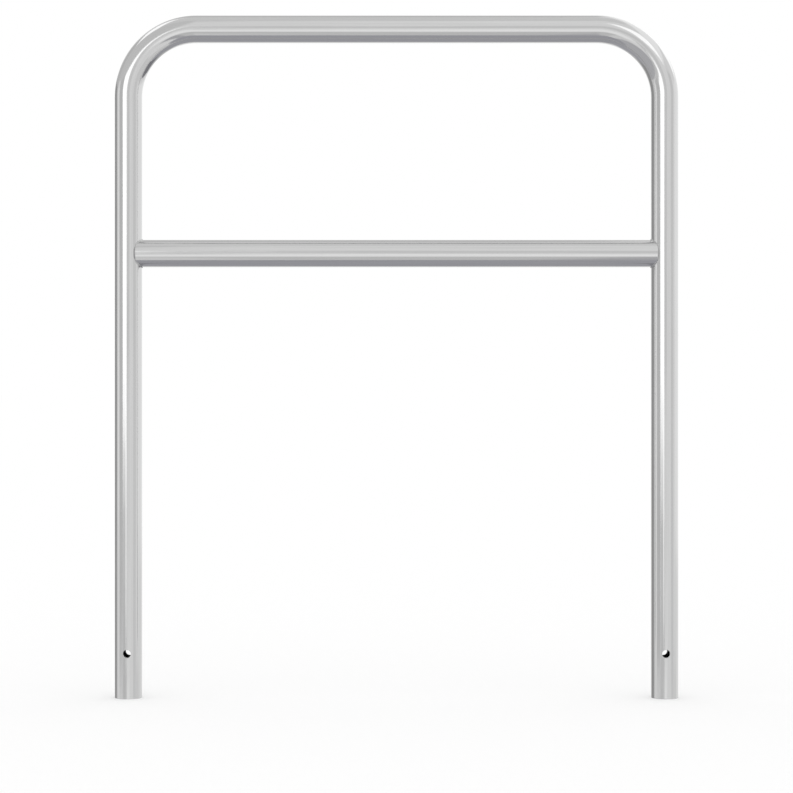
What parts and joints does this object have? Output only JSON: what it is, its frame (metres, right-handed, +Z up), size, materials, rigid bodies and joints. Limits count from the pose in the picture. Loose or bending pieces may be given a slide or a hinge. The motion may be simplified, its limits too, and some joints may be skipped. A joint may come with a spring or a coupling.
{
  "type": "hoop bike rack",
  "caption": "Upright bicycle parking hoop: a round stainless tube bent into an inverted U, a welded mid rail, and legs cross-drilled near their ends to be set in the ground.",
  "frame": {"origin": "on the ground line, midway between the two legs; the top of the hoop is 890 mm above it and the cut ends of the legs are 320 mm below it", "axes": "+X across the hoop towards its right leg, +Y through the hoop from front to back, along its cross-drilled holes, +Z up"},
  "size_m": [1, 0.0484, 1.21],
  "materials": {
    "tube_steel": "satin polished",
    "weld_seam": "dressed weld"
  },
  "bodies": {
    "root": {"hoop_tube": "tube_steel", "mid_rail": "tube_steel", "left_weld": "weld_seam", "right_weld": "weld_seam"}
  },
  "joints": []
}
